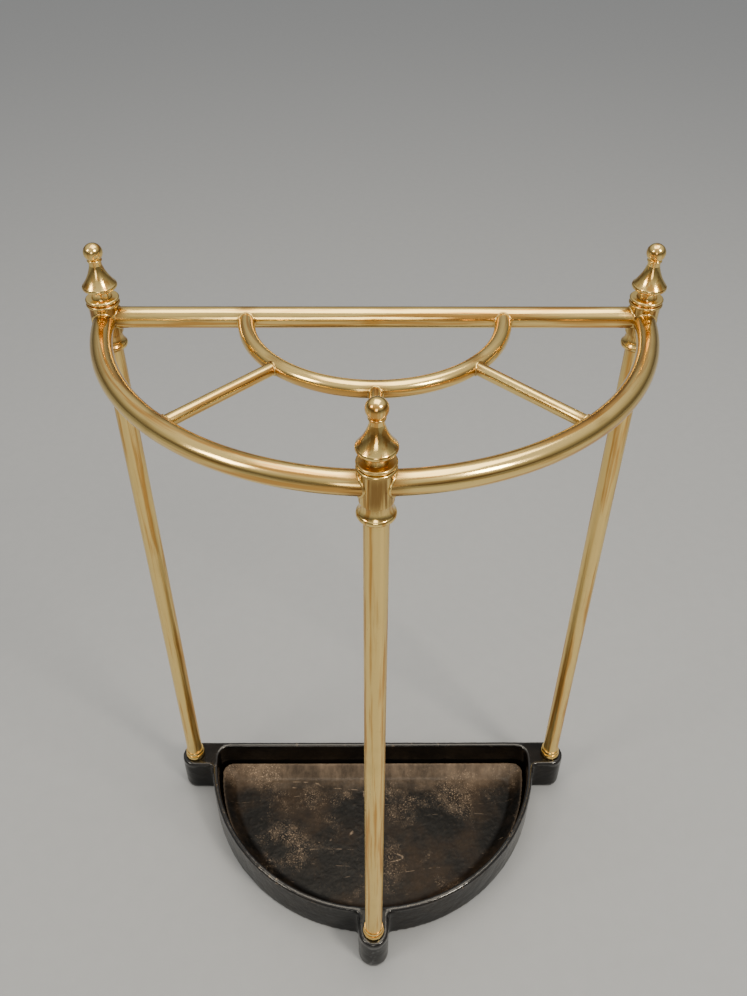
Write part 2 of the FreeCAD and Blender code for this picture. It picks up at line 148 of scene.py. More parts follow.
class Graph:
    """A node tree that is built up one node at a time."""

    def __init__(self, tree):
        self.tree = tree

    def node(self, kind, settings=None, sockets=None, out=0):
        """Makes a node, sets it up, feeds its sockets and returns one of its outputs as a wire."""
        made = self.tree.nodes.new(kind)
        for name, value in (settings or {}).items():
            setattr(made, name, value)
        for key, value in (sockets or {}).items():
            if isinstance(value, Wire):
                self.tree.links.new(value.socket, made.inputs[key])
            else:
                made.inputs[key].default_value = value
        return Wire(self, made.outputs[out]) if made.outputs else None

    def maths(self, operation, *values):
        """One Math node on wires and plain numbers."""
        return self.node("ShaderNodeMath", {"operation": operation}, dict(enumerate(values)))

    def vector_maths(self, operation, *values, out="Vector"):
        """One Vector Math node."""
        return self.node("ShaderNodeVectorMath", {"operation": operation}, dict(enumerate(values)), out)

    def scaled(self, vector, factor):
        """A vector made longer or shorter by a wire."""
        return self.node("ShaderNodeVectorMath", {"operation": "SCALE"}, {0: vector, "Scale": factor})

    def larger(self, first, second):
        """The larger of two values."""
        return self.maths("MAXIMUM", first, second)

    def at_most_one(self, value):
        """The value, but never more than 1, as a mask has to be."""
        return self.maths("MINIMUM", value, 1.0)

    def step(self, value, low, high):
        """A soft step: 0 below low, 1 above high. With low above high it falls."""
        sockets = {"Value": value, "From Min": low, "From Max": high}
        return self.node("ShaderNodeMapRange", {"interpolation_type": "SMOOTHSTEP"}, sockets)

    def noise(self, place, scale, detail, rough, seed):
        """Noise from 0 to 1 with features about 1 / scale metres across."""
        sockets = {"Vector": place, "W": seed, "Scale": scale, "Detail": detail, "Roughness": rough}
        return self.node("ShaderNodeTexNoise", {"noise_dimensions": "4D"}, sockets)

    def tint(self, mask, first, second):
        """The first colour where mask is 0 and the second where it is 1."""
        sockets = {"Factor": mask, MIX_FIRST: first, MIX_SECOND: second}
        return self.node("ShaderNodeMix", {"data_type": "RGBA"}, sockets, out=MIX_RESULT)


print("graph class ready")

# %% [markdown]
# ## A finish is a shader with a few masks
#
# Each real finish here is one main surface and one or two kinds of damage. So a finish is one Principled
# shader, and masks say where the damage is. Patterns use object coordinates in metres, so that a scale of
# 100 always means 10 mm, and they stay put when a piece moves.

# %% The finish class
class Finish(Graph):
    """A material with one Principled shader."""

    def __init__(self, name):
        self.material = bpy.data.materials.new(name)
        self.material.use_nodes = True
        super().__init__(self.material.node_tree)
        self.tree.nodes.clear()
        self.place = self.node("ShaderNodeTexCoord", out="Object")
        split = self.node("ShaderNodeSeparateXYZ", sockets={"Vector": self.place}).socket.node
        self.x, self.y, self.z = (Wire(self, output) for output in split.outputs)

    def near(self, point, inner, outer):
        """1 within inner metres of a point, falling to 0 at outer."""
        away = self.vector_maths("DISTANCE", self.place, tuple(point), out="Value")
        return self.step(away, outer, inner)

    def stretched(self, scale):
        """The place, scaled by a different number along each axis."""
        return self.vector_maths("MULTIPLY", self.place, scale)

    def vector(self, x, y, z):
        """A vector from three wires or numbers."""
        return self.node("ShaderNodeCombineXYZ", sockets={0: x, 1: y, 2: z})

    def patches(self, scale, detail, rough, seed, low, high):
        """Soft-edged patches: noise that counts as 0 below low and as 1 above high."""
        return self.step(self.noise(self.place, scale, detail, rough, seed), low, high)

    def attribute(self, name):
        """A number that the mesh itself carries."""
        return self.node("ShaderNodeAttribute", {"attribute_name": name}, out="Fac")

    def bump(self, height, depth, under=None):
        """Relief of that depth in metres, on top of another bump if one is given."""
        sockets = {"Height": height, "Distance": depth, "Strength": 1.0}
        if under is not None:
            sockets["Normal"] = under
        return self.node("ShaderNodeBump", sockets=sockets)

    def shade(self, **sockets):
        """Ends the material with a Principled shader and returns the material."""
        named = {key.replace("_", " "): value for key, value in sockets.items()}
        surface = self.node("ShaderNodeBsdfPrincipled", sockets=named)
        self.node("ShaderNodeOutputMaterial", sockets={"Surface": surface})
        return self.material


def colour(red, green, blue):
    """An opaque colour from linear parts."""
    return (red, green, blue, 1.0)


print("finish class ready")

# %% [markdown]
# ## Where the brass stays dark
#
# The posts and the rack were polished bright and then left alone. The polisher never reached into the joints,
# nor into the thin seams between the turned pieces, and those stayed brown. The stain could be painted by
# hand. But the joints are known points and the seams known heights, so here it is simply a distance.

# %% Joints of the rack
spoke_ends = []
for side, sign in (("left", -1), ("right", 1)):
    low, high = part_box(side + "_spoke")
    inner_x, outer_x = sorted((abs(low.x), abs(high.x)))
    spoke_ends.append(Vector((sign * outer_x, low.y, RACK_HEIGHT)))
    spoke_ends.append(Vector((sign * inner_x, high.y, RACK_HEIGHT)))
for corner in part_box("centre_spoke"):
    spoke_ends.append(Vector((0, corner.y, RACK_HEIGHT)))
ring_ends = [Vector((sign * INNER_RADIUS, INNER_CENTRE.y, RACK_HEIGHT)) for sign in (-1, 1)]
socket_points = [Vector((place.x, place.y, RACK_HEIGHT)) for place in POSTS.values()]
SEAM_HEIGHTS = [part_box("front_" + piece)[0].z for piece in ("foot_collar", "socket", "cap", "finial")]
print("rack joints:", len(spoke_ends) + len(ring_ends) + len(socket_points))

# %% Stain round the joints
SOCKET_STAIN = (12 * MM, 24 * MM)
TUBE_STAIN = (5 * MM, 14 * MM)
SEAM_CORE, SEAM_EDGE = 0.2 * MM, 1.4 * MM
SEAM_DARKNESS = 0.9


def joint_stain(brass):
    """1 in the dark corner of a joint and 0 on open brass."""
    stain = 0.0
    for point in socket_points:
        stain = brass.larger(brass.near(point, *SOCKET_STAIN), stain)
    for point in spoke_ends + ring_ends:
        stain = brass.larger(brass.near(point, *TUBE_STAIN), stain)
    for height in SEAM_HEIGHTS:
        seam_line = brass.step(brass.maths("ABSOLUTE", brass.z - height), SEAM_EDGE, SEAM_CORE)
        stain = brass.larger(seam_line * SEAM_DARKNESS, stain)
    return stain


print("seams between turned pieces at:", [round(height, 3) for height in SEAM_HEIGHTS])

# %% [markdown]
# ## The grain of the polish
#
# Polishing leaves faint bright and dark lines. They run along the tubes, up and down the sockets and finials,
# and round the collars and caps, which were finished on the lathe. So the same brass is made once for each
# direction. The grain is noise that is stretched along the direction: the place is squeezed across it and
# left long along it. A ring needs round coordinates, which are the distance from its centre, the angle and
# the height. In the colour, the warmer lines of the grain are partly painted reflection: they also stand for
# the brown streaks that the room throws along the tubes.

# %% Grain directions
ACROSS_GRAIN = 260.0
ALONG_GRAIN = 9.0
LATHE_FINENESS = 3


def straight_grain(direction):
    """Grain along a straight tube."""
    unit = tuple(Vector(direction).normalized())

    def grain(brass):
        along = brass.vector_maths("DOT_PRODUCT", brass.place, unit, out="Value")
        back = brass.scaled(unit, along * (ALONG_GRAIN - ACROSS_GRAIN))
        across = brass.stretched((ACROSS_GRAIN,) * 3)
        return brass.vector_maths("ADD", across, back)

    return grain


def ring_grain(centre, radius):
    """Grain along a ring that lies flat."""

    def grain(brass):
        away = brass.vector_maths("SUBTRACT", brass.place, (centre.x, centre.y, 0.0))
        flat = brass.vector_maths("MULTIPLY", away, (1, 1, 0))
        out = brass.vector_maths("LENGTH", flat, out="Value")
        angle = brass.maths("ARCTAN2", brass.y - centre.y, brass.x - centre.x)
        return brass.vector(out * ACROSS_GRAIN, angle * (radius * ALONG_GRAIN), brass.z * ACROSS_GRAIN)

    return grain


def turned_grain(brass):
    """Grain round an upright turned piece."""
    return brass.stretched((ALONG_GRAIN, ALONG_GRAIN, LATHE_FINENESS * ACROSS_GRAIN))


print("grain:", ACROSS_GRAIN, "lines a metre across and", ALONG_GRAIN, "along")

# %% [markdown]
# ## Polished brass, some years on
#
# The polish survives on the long stretches, where a thin brown tarnish has started in clouds and freckles.
# In the joints the stain is thick, and it breaks up into streaks along the grain; those streaks are painted
# reflection, brown bands of mirrored dark things. One flat gold colour with low roughness would be simpler,
# but it looks like plastic. The warmer lines of the grain, partly buffing lines and partly painted brown
# reflection, and the slightly wavy reflections make it look like metal.

# %% Brass colours and weights
# The warm line colour below is partly the grain's own tone and partly painted brown reflection.
BRIGHT_BRASS = colour(1.0, 0.73, 0.26)
GRAIN_AND_REFLECTION_BRASS = colour(0.62, 0.27, 0.045)
BROWNED_BRASS = colour(0.16, 0.055, 0.010)
GRAIN_AND_REFLECTION_SHARE = 0.75
CLOUD_TARNISH, FRECKLE_TARNISH, STAIN_TARNISH = 0.18, 0.14, 0.8
POLISHED_ROUGHNESS, DRAG_ROUGHNESS = 0.10, 0.16
TARNISH_ROUGHNESS, LINE_ROUGHNESS = 0.25, 0.12
WAVE_DEPTH, LINE_DEPTH = 0.5 * MM, 0.13 * MM
QUARTER_TURN = 0.25
POST_DRAG = 0.85
print("brass goes from", BRIGHT_BRASS[:3], "to", BROWNED_BRASS[:3])


# %% Polished brass
def polished_brass(name, grain_of, drag=0.0):
    """Bright brass with buffing lines, clouds of tarnish, dark joints and slightly wavy reflections. The warm
    lines and the streaks in the joints also carry painted brown reflection.

    Drag is how far the fine scratches round a post smear its reflections along it.
    """
    brass = Finish(name)
    clouds = brass.patches(scale=13, detail=5, rough=0.62, seed=1.3, low=0.52, high=0.80)
    freckles = brass.patches(scale=190, detail=4, rough=0.6, seed=2.1, low=0.60, high=0.78)
    grain = grain_of(brass)
    lines = brass.noise(grain, scale=1.0, detail=3, rough=0.6, seed=4.4)
    # The warm lines: buffing lines, and painted reflection of the brown streaks that run along the tubes.
    grain_and_reflection_lines = brass.step(lines, low=0.47, high=0.62)
    # Painted reflection: these streaks break the joint stain into brown bands that stand for dark things
    # mirrored in the brass.
    reflection_streaks = brass.noise(grain, scale=1.2, detail=3, rough=0.6, seed=6.2)
    stain = joint_stain(brass) * brass.step(reflection_streaks, low=0.38, high=0.58)
    tarnish = clouds * CLOUD_TARNISH + freckles * FRECKLE_TARNISH + stain * STAIN_TARNISH
    tarnish = brass.at_most_one(tarnish)
    polish = brass.tint(grain_and_reflection_lines * GRAIN_AND_REFLECTION_SHARE, BRIGHT_BRASS, GRAIN_AND_REFLECTION_BRASS)
    waves = brass.noise(brass.place, scale=30, detail=2, rough=0.4, seed=8.8)
    wavy = brass.bump(waves, WAVE_DEPTH)
    smoothest = POLISHED_ROUGHNESS + drag * DRAG_ROUGHNESS
    return brass.shade(
        Base_Color=brass.tint(tarnish, polish, BROWNED_BRASS),
        Metallic=1.0,
        Roughness=smoothest + tarnish * TARNISH_ROUGHNESS + lines * LINE_ROUGHNESS,
        Anisotropic=drag,
        Anisotropic_Rotation=QUARTER_TURN,
        Normal=brass.bump(lines, LINE_DEPTH, under=wavy),
    )


upright = straight_grain((0, 0, 1))
BRASSES = {
    "post": polished_brass("brass_upright", upright, drag=POST_DRAG),
    "socket": polished_brass("brass_socket", upright),
    "finial": polished_brass("brass_finial", upright),
    "rail": polished_brass("brass_rail", straight_grain((1, 0, 0))),
    "left_spoke": polished_brass("brass_left_spoke", straight_grain((1, 1, 0))),
    "right_spoke": polished_brass("brass_right_spoke", straight_grain((-1, 1, 0))),
    "centre_spoke": polished_brass("brass_centre_spoke", straight_grain((0, 1, 0))),
    "inner_ring": polished_brass("brass_inner_ring", ring_grain(INNER_CENTRE, INNER_RADIUS)),
    "ring": polished_brass("brass_outer_ring", ring_grain(OUTER_CENTRE, OUTER_RADIUS)),
    "": polished_brass("brass_turned", turned_grain),
}
print("brass finishes:", len(BRASSES))

# %% [markdown]
# ## Zinc on the hidden steel
#
# The tie rods, washers and nuts are ordinary zinc-plated hardware. They only show from below. Zinc is a
# dull, cold metal whose crystals give it a faint patchwork, which a cell pattern makes well.

# %% Zinc-plated steel
ZINC_LIGHT = colour(0.56, 0.57, 0.58)
ZINC_DARK = colour(0.34, 0.35, 0.36)
CRYSTALS_A_METRE = 420
CRYSTAL_SHADE, GRIME_SHADE = 0.5, 0.6
ZINC_SMOOTH, GRIME_ROUGHNESS = 0.34, 0.2
PITTING_DEPTH = 0.03 * MM


def zinc_plate():
    """Dull plated steel with a faint patchwork of crystals."""
    zinc = Finish("zinc_plate_dull")
    crystals = {"Vector": zinc.place, "Scale": CRYSTALS_A_METRE}
    cells = zinc.node("ShaderNodeTexVoronoi", sockets=crystals, out="Distance")
    grime = zinc.patches(scale=130, detail=4, rough=0.6, seed=5.1, low=0.45, high=0.75)
    shade = zinc.at_most_one(cells * CRYSTAL_SHADE + grime * GRIME_SHADE)
    pitting = zinc.noise(zinc.place, scale=700, detail=3, rough=0.6, seed=7.9)
    return zinc.shade(
        Base_Color=zinc.tint(shade, ZINC_LIGHT, ZINC_DARK),
        Metallic=0.9,
        Roughness=ZINC_SMOOTH + grime * GRIME_ROUGHNESS,
        Normal=zinc.bump(pitting, PITTING_DEPTH),
    )


ZINC = zinc_plate()
print("zinc nodes:", len(ZINC.node_tree.nodes))

# %% [markdown]
# ## Black enamel on cast iron
#
# The tray was cast in sand and dipped or brushed in black stove enamel. The enamel is glossy but not flat:
# it follows the sand's grain. Hands and cloths have rubbed its edges. They shine more than the rest, and
# here and there the enamel has chipped and brown iron shows. The geometry carries the lumps, and a mesh
# attribute named worn_edge, made further down, says where an edge sticks out. A clear coat on top gives the
# edges their shine.

# %% Black enamel
ENAMEL_BLACK = colour(0.0035, 0.0032, 0.0030)
ENAMEL_BROWN = colour(0.009, 0.0064, 0.0042)
RUBBED_IRON = colour(0.20, 0.15, 0.10)
EDGE_ATTRIBUTE = "worn_edge"
EDGE_CHIPPING = 0.32
CHIP_COVER, CHIP_METAL = 0.7, 0.5
ENAMEL_SMOOTH = 0.15
CLOUD_ROUGHNESS, CHIP_ROUGHNESS, DUST_ROUGHNESS = 0.10, 0.2, 0.15
ENAMEL_GLOSS, COAT_ROUGHNESS = 0.20, 0.12
SAND_DEPTH, LUMP_DEPTH = 0.10 * MM, 0.35 * MM


def black_enamel():
    """Glossy black over cast iron, chipped and shiny on the edges."""
    enamel = Finish("black_enamel_aged")
    edge = enamel.attribute(EDGE_ATTRIBUTE)
    chips = enamel.noise(enamel.place, scale=170, detail=5, rough=0.65, seed=2.9)
    rubbed = enamel.step(edge * EDGE_CHIPPING + chips, low=0.92, high=1.02)
    clouds = enamel.patches(scale=26, detail=4, rough=0.6, seed=1.7, low=0.42, high=0.72)
    dust = enamel.patches(scale=620, detail=3, rough=0.6, seed=9.1, low=0.62, high=0.76)
    sand = enamel.noise(enamel.place, scale=330, detail=4, rough=0.55, seed=4.2)
    lumps = enamel.noise(enamel.place, scale=95, detail=2, rough=0.5, seed=6.6)
    coat = enamel.tint(clouds, ENAMEL_BLACK, ENAMEL_BROWN)
    rough = ENAMEL_SMOOTH + clouds * CLOUD_ROUGHNESS + rubbed * CHIP_ROUGHNESS + dust * DUST_ROUGHNESS
    return enamel.shade(
        Base_Color=enamel.tint(rubbed * CHIP_COVER, coat, RUBBED_IRON),
        Metallic=rubbed * CHIP_METAL,
        Roughness=rough,
        Specular_IOR_Level=ENAMEL_GLOSS,
        Coat_Weight=enamel.step(edge, low=0.55, high=0.95) * (1.0 - dust),
        Coat_Roughness=COAT_ROUGHNESS,
        Normal=enamel.bump(lumps, LUMP_DEPTH, under=enamel.bump(sand, SAND_DEPTH)),
    )


ENAMEL = black_enamel()
print("enamel nodes:", len(ENAMEL.node_tree.nodes))

# %% [markdown]
# ## The worn drip pan
#
# Wet umbrella tips have stood in the pan for years. Its enamel is scoured to a mottled brown black. Drops
# have dried into pale grey-brown specks, which lie in drifts, and there are a few long scratches. The pale
# band
# along the back edge is painted sheen: the glossy back slope mirrors the light, and that reflection is
# painted into the colour. Each kind of mark is its own mask, because a single noise could not be cloudy,
# speckled and scratched at once.

# %% Pan colours and measures
PAN_BLACK = colour(0.0028, 0.0022, 0.0015)
PAN_BROWN = colour(0.030, 0.0180, 0.0095)
# The rubbed colour is pale bare iron on the edges and in the haze, and also the painted sheen of the back
# band.
PAN_RUBBED_AND_SHEEN = colour(0.26, 0.188, 0.128)
PAN_SPECK = colour(0.58, 0.43, 0.30)
# The back band is painted sheen: the glossy back slope mirrors the light, and that pale reflection is painted
# in.
SHEEN_BAND, SHEEN_LIP, SHEEN_WANDER = 38 * MM, 2 * MM, 50 * MM
SHEEN_GAPS = 0.6
SHEEN_STRETCH = (70, 26, 1)
EDGE_RUB, HAZE_RUB = 0.3, 0.25
SCRATCH_STRETCH = (5, 32, 1)
SCRATCH_CORE, SCRATCH_EDGE = 0.001, 0.0035  # not metres: how far the noise is from its middle value
SCRATCH_PALENESS = 0.35
RUBBED_AND_SHEEN_COVER, MARK_COVER = 0.9, 0.85
PAN_SMOOTH, SCOUR_ROUGHNESS, MARK_ROUGHNESS = 0.30, 0.14, 0.25
PAN_GLOSS = 0.18
PIT_DEPTH, MARK_DEPTH = 0.12 * MM, 0.10 * MM
pan_low, pan_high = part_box("drip_pan")
print("rubbed band starts at y =", round(pan_high.y - SHEEN_BAND, 3))


# %% Masks of the pan's wear and painted sheen
def pan_specks(pan, drifts):
    """Dried drops: fine grit, but only where it has drifted together."""
    return pan.patches(scale=560, detail=5, rough=0.8, seed=7.7, low=0.53, high=0.65) * drifts


def pan_scratches(pan):
    """Broken hair lines, where slow stretched noise passes its middle value."""
    slow = pan.noise(pan.stretched(SCRATCH_STRETCH), scale=1.0, detail=1, rough=0.3, seed=1.9)
    lines = pan.step(pan.maths("ABSOLUTE", slow - 0.5), SCRATCH_EDGE, SCRATCH_CORE)
    return lines * pan.patches(scale=90, detail=3, rough=0.6, seed=4.9, low=0.52, high=0.62)


def pan_rubbing_and_sheen(pan, drifts):
    """Rubbed places and painted sheen: a painted sheen band along the back with a wandering front, rubbed
    edges, and haze in the drifts.
    """
    sheen_brushing = pan.noise(pan.stretched(SHEEN_STRETCH), scale=1.0, detail=5, rough=0.7, seed=8.3)
    wander = pan.noise(pan.place, scale=24, detail=4, rough=0.6, seed=2.6) - 0.5
    gaps = pan.patches(scale=34, detail=4, rough=0.65, seed=6.8, low=0.34, high=0.66)
    # Painted sheen: the band along the back stands for the reflection on the glossy back slope.
    sheen_band = pan.step(pan.y + wander * SHEEN_WANDER, pan_high.y - SHEEN_BAND, pan_high.y - SHEEN_LIP)
    back = sheen_band * ((1 - SHEEN_GAPS) + gaps * SHEEN_GAPS) * pan.step(sheen_brushing, low=0.0, high=0.9)
    haze = drifts * pan.patches(scale=110, detail=4, rough=0.7, seed=2.2, low=0.42, high=0.62)
    return pan.at_most_one(back + pan.attribute(EDGE_ATTRIBUTE) * EDGE_RUB + haze * HAZE_RUB)


print("pan masks: specks, scratches, rubbing")


# %% Worn pan iron
def worn_pan():
    """Scoured enamel with drifts of pale specks, scratches and a painted sheen along the back edge."""
    pan = Finish("worn_pan_aged")
    clouds = pan.patches(scale=15, detail=5, rough=0.6, seed=3.1, low=0.47, high=0.70)
    drifts = pan.patches(scale=19, detail=5, rough=0.66, seed=5.5, low=0.49, high=0.66)
    marks = pan.at_most_one(pan_specks(pan, drifts) + pan_scratches(pan) * SCRATCH_PALENESS)
    scoured = pan.tint(clouds, PAN_BLACK, PAN_BROWN)
    # Rubbed iron on the edges and in the haze, plus the painted sheen of the back band.
    worn_and_sheen = pan.tint(pan_rubbing_and_sheen(pan, drifts) * RUBBED_AND_SHEEN_COVER, scoured, PAN_RUBBED_AND_SHEEN)
    pits = pan.noise(pan.place, scale=300, detail=5, rough=0.65, seed=6.1)
    return pan.shade(
        Base_Color=pan.tint(marks * MARK_COVER, worn_and_sheen, PAN_SPECK),
        Metallic=0.0,
        Roughness=PAN_SMOOTH + clouds * SCOUR_ROUGHNESS + marks * MARK_ROUGHNESS,
        Specular_IOR_Level=PAN_GLOSS,
        Normal=pan.bump(marks, MARK_DEPTH, under=pan.bump(pits, PIT_DEPTH)),
    )


PAN_IRON = worn_pan()
print("pan nodes:", len(PAN_IRON.node_tree.nodes))

# %% [markdown]
# ## Dress the CAD nodes
#
# The CAD parts keep their meshes. Each came in with a plain material named after its finish, so that name
# picks the new one. Only brass needs a second look at the node's own name, to find which way its grain runs.

# %% Give the CAD nodes their finishes
FINISHES = {
    "black_enamel_iron": ENAMEL,
    "worn_pan_iron": PAN_IRON,
    "zinc_steel": ZINC,
}


def brass_for(name):
    """The brass whose grain runs along a node: the first whose key ends the node's name."""
    return next(brass for key, brass in BRASSES.items() if name.endswith(key))


for name, node in NODES.items():
    for slot in node.material_slots:
        slot.material = FINISHES.get(slot.material.name) or brass_for(name)
print("nodes dressed:", len(NODES))

# %% [markdown]
# ## Geometry Nodes in a few lines
#
# A `Recipe` is a Geometry Nodes tree with named sizes. It takes geometry in, changes it, and ends in Realize
# Instances and Set Material. `bake` runs it once and keeps the result as a plain mesh, so nothing is left
# live on the piece.

# %% The recipe class
class Recipe(Graph):
    """A Geometry Nodes tree with named sizes, which is run once."""

    def __init__(self, name, material, **sizes):
        super().__init__(bpy.data.node_groups.new(name, "GeometryNodeTree"))
        sockets = self.tree.interface
        sockets.new_socket("Geometry", in_out="INPUT", socket_type="NodeSocketGeometry")
        sockets.new_socket("Geometry", in_out="OUTPUT", socket_type="NodeSocketGeometry")
        self.material = material
        self.settings = {}
        for label, value in sizes.items():
            socket = sockets.new_socket(label, in_out="INPUT", socket_type="NodeSocketFloat")
            self.settings[socket.identifier] = float(value)
        group = self.tree.nodes.new("NodeGroupInput")
        self.shape = Wire(self, group.outputs["Geometry"])
        self.size = {label: Wire(self, group.outputs[label]) for label in sizes}

    def finish(self):
        """Ends the tree: instances made real, smooth shading and the material."""
        self.shape = self.node("GeometryNodeSetShadeSmooth", sockets={"Geometry": self.shape})
        self.shape = self.node("GeometryNodeRealizeInstances", sockets={"Geometry": self.shape})
        sockets = {"Geometry": self.shape, "Material": self.material}
        self.shape = self.node("GeometryNodeSetMaterial", sockets=sockets)
        self.node("NodeGroupOutput", sockets={"Geometry": self.shape})
        return self

    def bake(self, source, name):
        """Runs the tree on an object and returns a new object with the result as its mesh."""
        modifier = source.modifiers.new("Recipe", "NODES")
        modifier.node_group = self.tree
        for identifier, value in self.settings.items():
            modifier[identifier] = value
        depsgraph = bpy.context.evaluated_depsgraph_get()
        done = source.evaluated_get(depsgraph)
        mesh = bpy.data.meshes.new_from_object(done, preserve_all_data_layers=True, depsgraph=depsgraph)
        bpy.data.objects.remove(source)
        mesh.name = name
        piece = bpy.data.objects.new(name, mesh)
        bpy.context.scene.collection.objects.link(piece)
        print(f"{name}: {sum(len(face.vertices) - 2 for face in mesh.polygons)} triangles")
        return piece


print("recipe class ready")

# %% [markdown]
# ## An even net over a casting
#
# Sand casting leaves no edge sharp and no face flat. The CAD mesh has large flat triangles, which can't be
# made lumpy. A voxel remesh of it gives an even net of small faces to work on, and a few smoothing passes
# soften the edges. A bevel would round them too, but evenly, as no casting does.

# %% Remesh
def even_net(node, voxel, passes):
    """A copy of a CAD node as an even net of small faces with softened edges."""
    mesh = NODES[node].data.copy()
    cleaner = bmesh.new()
    cleaner.from_mesh(mesh)
    bmesh.ops.remove_doubles(cleaner, verts=cleaner.verts, dist=0.001 * MM)
    cleaner.to_mesh(mesh)
    cleaner.free()
    copy = bpy.data.objects.new(node + "_net", mesh)
    bpy.context.scene.collection.objects.link(copy)
    remesh = copy.modifiers.new("Even net", "REMESH")
    remesh.mode = "VOXEL"
    remesh.voxel_size = voxel
    smooth = copy.modifiers.new("Soft edges", "SMOOTH")
    smooth.factor = 0.5
    smooth.iterations = passes
    return copy


print("even net ready")

# %% [markdown]
# ## The cast skin
#
# The recipe pushes each point of the net in or out along its normal by two sizes of noise: broad lumps, and
# the grain of the sand. The underside has to lie flat, so there the push fades out. The recipe also measures
# how far each point stands out from the blurred surface around it: that is an outside edge, where the enamel
# rubs thin. A displaced texture could do the lumps, but only a tree can hand the edges to the shader as well.

# %% The skin recipe
EDGE_BLUR = 6
FULL_EDGE = 0.30 * MM
UNDERSIDE_LOW, UNDERSIDE_HIGH = -0.9, -0.5
FOOT_FADE = 2 * MM
GRAIN_SEED_STEP = 3.0


def skin_push(skin, place):
    """How far a point moves: lumps and grain, each about half in and half out."""
    seed = skin.size["Seed"]
    lumps = skin.noise(place, skin.size["Lump Scale"], detail=2, rough=0.5, seed=seed)
    grain = skin.noise(place, skin.size["Grain Scale"], detail=3, rough=0.6, seed=seed + GRAIN_SEED_STEP)
    return (lumps - 0.5) * skin.size["Lump Height"] + (grain - 0.5) * skin.size["Grain Height"]


def cast_skin(name, material, **sizes):
    """The recipe for a sand-cast surface."""
    skin = Recipe(name, material, **sizes)
    place = skin.node("GeometryNodeInputPosition")
    normal = skin.node("GeometryNodeInputNormal")
    up = skin.node("ShaderNodeSeparateXYZ", sockets={"Vector": normal}, out="Z")
    height = skin.node("ShaderNodeSeparateXYZ", sockets={"Vector": place}, out="Z")
    off_the_foot = skin.step(height - skin.size["Foot"], 0.0, FOOT_FADE)
    free = skin.step(up, UNDERSIDE_LOW, UNDERSIDE_HIGH) * off_the_foot
    offset = skin.scaled(normal, skin_push(skin, place) * free)
    sockets = {"Geometry": skin.shape, "Offset": offset}
    skin.shape = skin.node("GeometryNodeSetPosition", sockets=sockets)
    blur = {"Value": place, "Iterations": EDGE_BLUR}
    blurred = skin.node("GeometryNodeBlurAttribute", {"data_type": "FLOAT_VECTOR"}, blur)
    proud = skin.vector_maths("SUBTRACT", place, blurred)
    proud = skin.vector_maths("DOT_PRODUCT", proud, normal, out="Value")
    edge = skin.step(proud, 0.0, FULL_EDGE)
    sockets = {"Geometry": skin.shape, "Name": EDGE_ATTRIBUTE, "Value": edge}
    skin.shape = skin.node("GeometryNodeStoreNamedAttribute", sockets=sockets)
    return skin.finish()


print("an edge counts in full when it stands", FULL_EDGE / MM, "mm proud")

# %% [markdown]
# ## The tray casting
#
# The tray is one heavy iron casting with a raised rim and three bosses for the posts. It is big and thick, so
# its lumps are broad and its net can be a little coarser than the pan's. It stands on the floor, so its foot
# is at zero.

# %% The tray casting
tray_skin = cast_skin(
    "Cast tray skin",
    ENAMEL,
    **{
        "Lump Scale": 55,
        "Lump Height": 0.9 * MM,
        "Grain Scale": 260,
        "Grain Height": 0.35 * MM,
        "Seed": 2,
        "Foot": 0,
    },
)
tray = tray_skin.bake(even_net("base_casting", voxel=1.6 * MM, passes=4), "tray_casting")
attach(tray, "frame")
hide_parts("base_casting")

# %% [markdown]
# ## The drip pan
#
# The pan is a thin dished plate that lies loose in the tray. It is made as the tray is, with shallower
# lumps, a rougher grain from years of scouring, and a finer net, because the plate is thin. It rides its own
# body, so it can be lifted out.

# %% The drip pan
pan_skin = cast_skin(
    "Worn pan skin",
    PAN_IRON,
    **{
        "Lump Scale": 70,
        "Lump Height": 0.7 * MM,
        "Grain Scale": 300,
        "Grain Height": 0.5 * MM,
        "Seed": 5,
        "Foot": pan_low.z,
    },
)
pan = pan_skin.bake(even_net("drip_pan", voxel=1.1 * MM, passes=8), "worn_drip_pan")
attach(pan, "drip_pan")
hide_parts("drip_pan")

# %% [markdown]
# ## Brazed joints
#
# Every joint of the rack is brazed: molten brass ran round the seam and froze as a thin uneven bead. A bead
# follows the line where two tubes meet. A point on the smaller tube's skin is its axis point plus a radius
# at some angle, and it lies on the larger tube's skin when its distance from that tube's axis is the larger
# radius. That gives a quadratic for how far along the axis the point is.

# %% The line where two tubes meet
SEAM_POINTS = 48


def seam(crossing, larger_axis, larger_radius, smaller_axis, smaller_radius):
    """The closed line round a tube that butts against another, from the crossing of their axes."""
    out = Vector(smaller_axis).normalized()
    axis = Vector(larger_axis).normalized()
    side = out.cross(axis).normalized()
    up = side.cross(out)
    lean = out.dot(axis)
    points = []
    for step in range(SEAM_POINTS):
        angle = math.tau * step / SEAM_POINTS
        spoke = (up * math.cos(angle) + side * math.sin(angle)) * smaller_radius
        shift = spoke.dot(axis)
        rest = smaller_radius**2 - shift**2 - larger_radius**2
        root = math.sqrt((lean * shift) ** 2 - (1 - lean**2) * rest)
        along = (lean * shift + root) / (1 - lean**2)
        points.append(crossing + spoke + out * along)
    return points


def round_point(centre, radius, toward):
    """The point of a flat ring in a direction from its centre, and the ring's run there."""
    unit = Vector(toward).normalized()
    return centre + unit * radius, Vector((-unit.y, unit.x, 0))


def ray_to_ring(start, unit, centre, radius):
    """The point where a flat ray from inside a ring reaches it."""
    offset = start - centre
    along = offset.dot(unit)
    return start + unit * (math.sqrt(along**2 - offset.dot(offset) + radius**2) - along)


print("points in a seam:", SEAM_POINTS)

